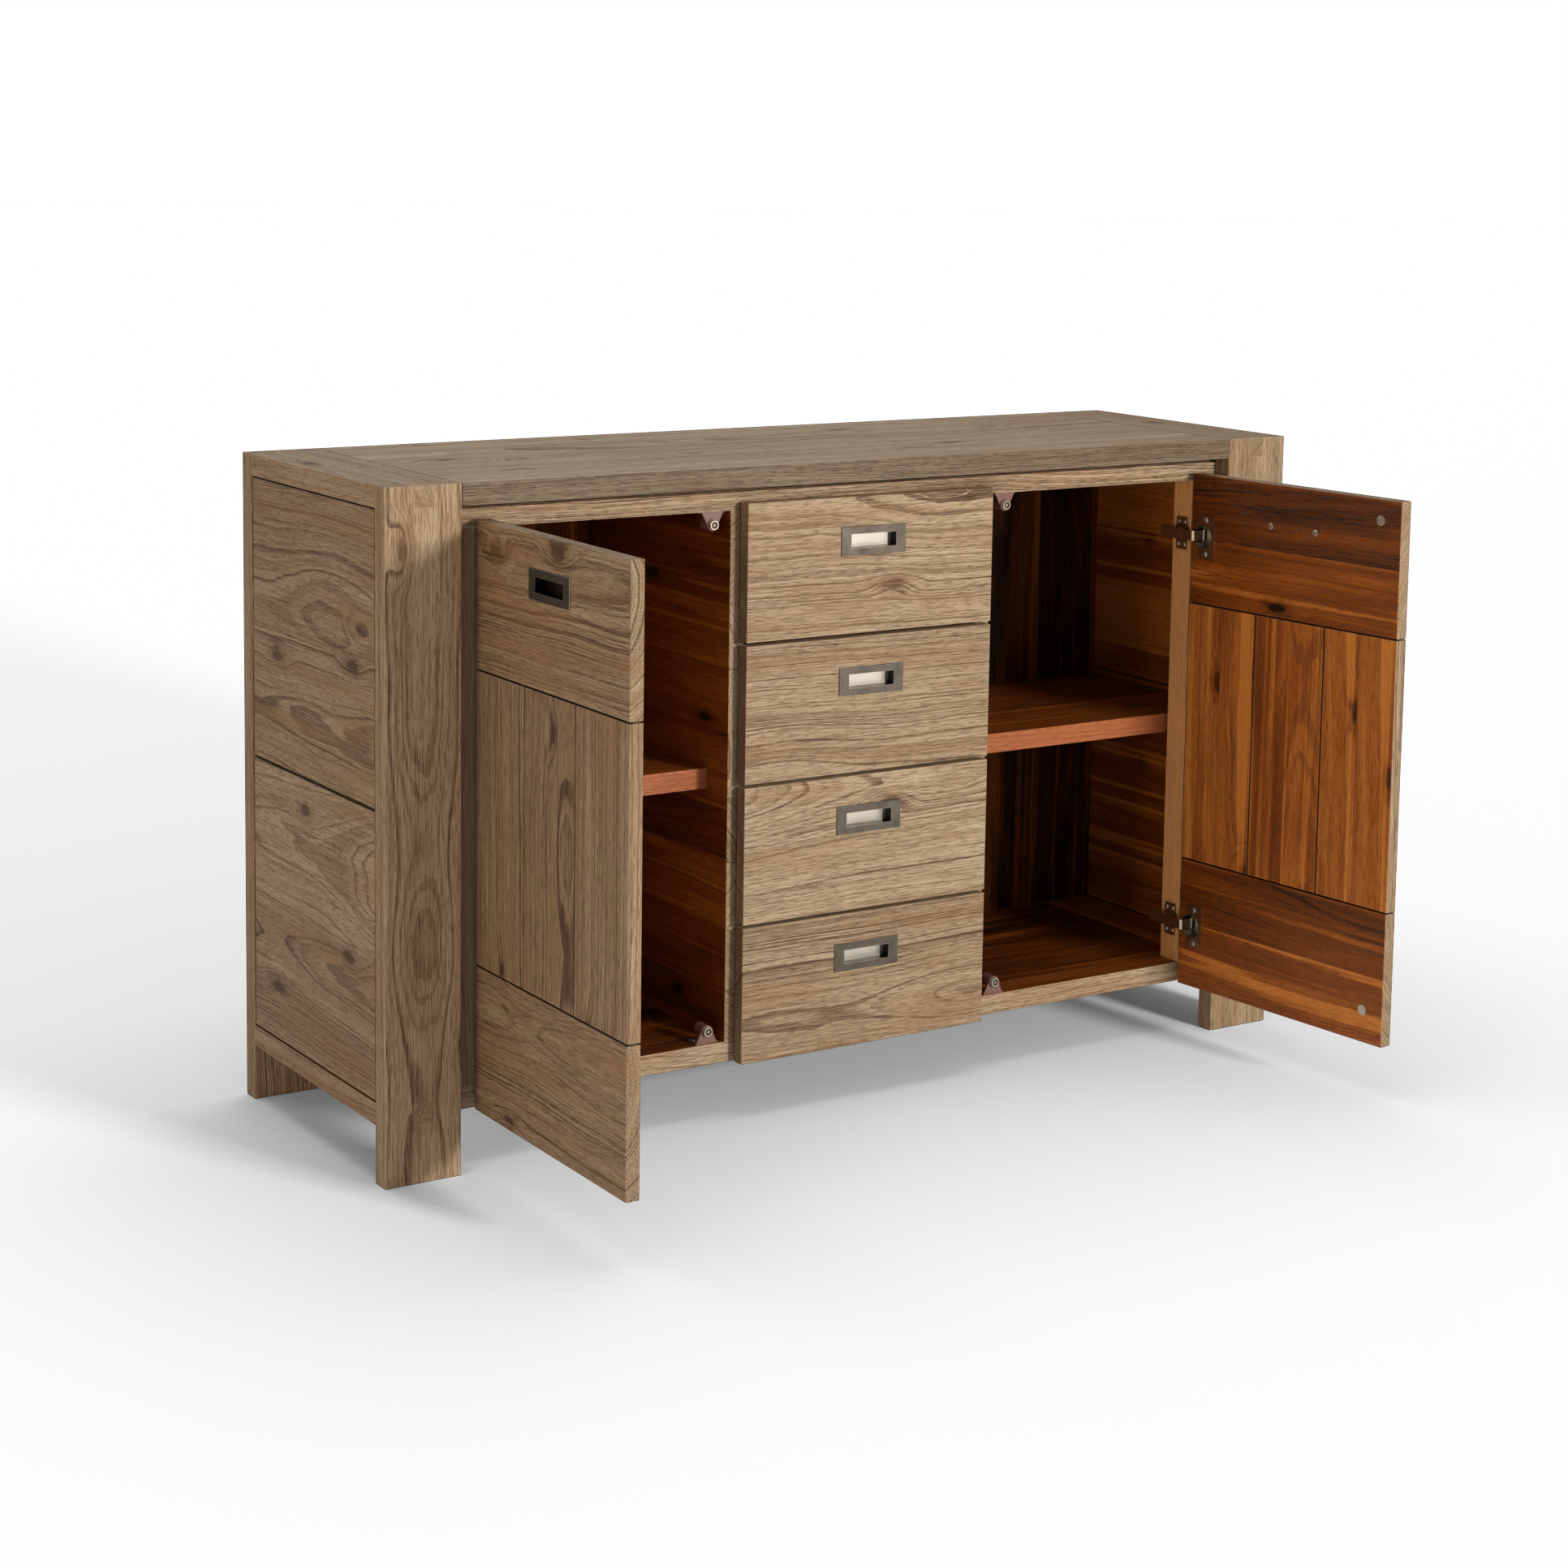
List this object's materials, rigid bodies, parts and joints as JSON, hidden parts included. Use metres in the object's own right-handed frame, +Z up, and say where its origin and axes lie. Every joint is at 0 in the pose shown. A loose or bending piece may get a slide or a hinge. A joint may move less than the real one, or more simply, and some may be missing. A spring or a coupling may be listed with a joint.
{
  "type": "sideboard buffet",
  "caption": "Solid-wood sideboard buffet on flat plank legs, with hinged cupboard doors either side of a central bank of drawers, shelves inside and flush recessed metal pulls",
  "frame": {"origin": "on the floor, midway between the four posts of the cabinet", "axes": "+X to the right seen from the front, +Y from the front to the back, +Z up"},
  "size_m": [1.395, 0.7811, 0.85],
  "materials": {
    "grey_wood": "brushed acacia under a grey-brown wash, matt lacquer",
    "front_wood": "brushed acacia under a light grey-brown wash outside, warm clear lacquer behind",
    "inner_wood": "acacia under warm orange-brown lacquer, satin",
    "pewter": "dark pewter plating, mottled, with a brighter finger cup",
    "nickel_steel": "nickel plated pressed steel",
    "zinc_steel": "zinc plated steel",
    "brown_plastic": "brown moulded plastic"
  },
  "bodies": {
    "carcass": {"front_post_left": "grey_wood", "rear_post_left": "grey_wood", "top_end_board_left": "grey_wood", "lower_side_rail_left": "grey_wood", "side_panel_left": "grey_wood", "front_post_right": "grey_wood", "rear_post_right": "grey_wood", "top_end_board_right": "grey_wood", "lower_side_rail_right": "grey_wood", "side_panel_right": "grey_wood", "top_planks": "grey_wood", "front_rail_top": "grey_wood", "front_rail_bottom": "grey_wood", "floor_boards": "inner_wood", "back_boards": "inner_wood", "rear_rails": "inner_wood", "stile_left": "grey_wood", "divider_left": "inner_wood", "shelf_left": "inner_wood", "stile_right": "grey_wood", "divider_right": "inner_wood", "shelf_right": "inner_wood", "shelf_pegs": "zinc_steel", "hinge_plates": "nickel_steel", "hinge_arms": "nickel_steel", "hinge_pins": "nickel_steel", "catch_brackets": "brown_plastic", "catch_magnets": "zinc_steel", "frame_screws": "zinc_steel", "drawer_rails": "zinc_steel"},
    "door_left": {"door_left_top_board": "front_wood", "door_left_planks": "front_wood", "door_left_bottom_board": "front_wood", "door_left_hinge_cups": "nickel_steel", "door_left_pull": "pewter", "door_left_fixings": "zinc_steel"},
    "door_right": {"door_right_top_board": "front_wood", "door_right_planks": "front_wood", "door_right_bottom_board": "front_wood", "door_right_hinge_cups": "nickel_steel", "door_right_pull": "pewter", "door_right_fixings": "zinc_steel"},
    "drawer_1": {"drawer_1_front": "front_wood", "drawer_1_box": "inner_wood", "drawer_1_slides": "zinc_steel", "drawer_1_pull": "pewter"},
    "drawer_2": {"drawer_2_front": "front_wood", "drawer_2_box": "inner_wood", "drawer_2_slides": "zinc_steel", "drawer_2_pull": "pewter"},
    "drawer_3": {"drawer_3_front": "front_wood", "drawer_3_box": "inner_wood", "drawer_3_slides": "zinc_steel", "drawer_3_pull": "pewter"},
    "drawer_4": {"drawer_4_front": "front_wood", "drawer_4_box": "inner_wood", "drawer_4_slides": "zinc_steel", "drawer_4_pull": "pewter"}
  },
  "joints": [
    {"name": "door_left_hinge", "type": "hinge", "parent": "carcass", "child": "door_left", "pos_m": [-0.563, -0.202, 0.438], "axis": [0, 0, -1], "range_deg": [-90.5, 4.5]},
    {"name": "door_right_hinge", "type": "hinge", "parent": "carcass", "child": "door_right", "pos_m": [0.563, -0.202, 0.438], "axis": [0, 0, 1], "range_deg": [-95, 0]},
    {"name": "drawer_1_slide", "type": "slide", "parent": "carcass", "child": "drawer_1", "axis": [0, -1, 0], "range_m": [0, 0.28]},
    {"name": "drawer_2_slide", "type": "slide", "parent": "carcass", "child": "drawer_2", "axis": [0, -1, 0], "range_m": [0, 0.28]},
    {"name": "drawer_3_slide", "type": "slide", "parent": "carcass", "child": "drawer_3", "axis": [0, -1, 0], "range_m": [0, 0.28]},
    {"name": "drawer_4_slide", "type": "slide", "parent": "carcass", "child": "drawer_4", "axis": [0, -1, 0], "range_m": [0, 0.28]}
  ]
}
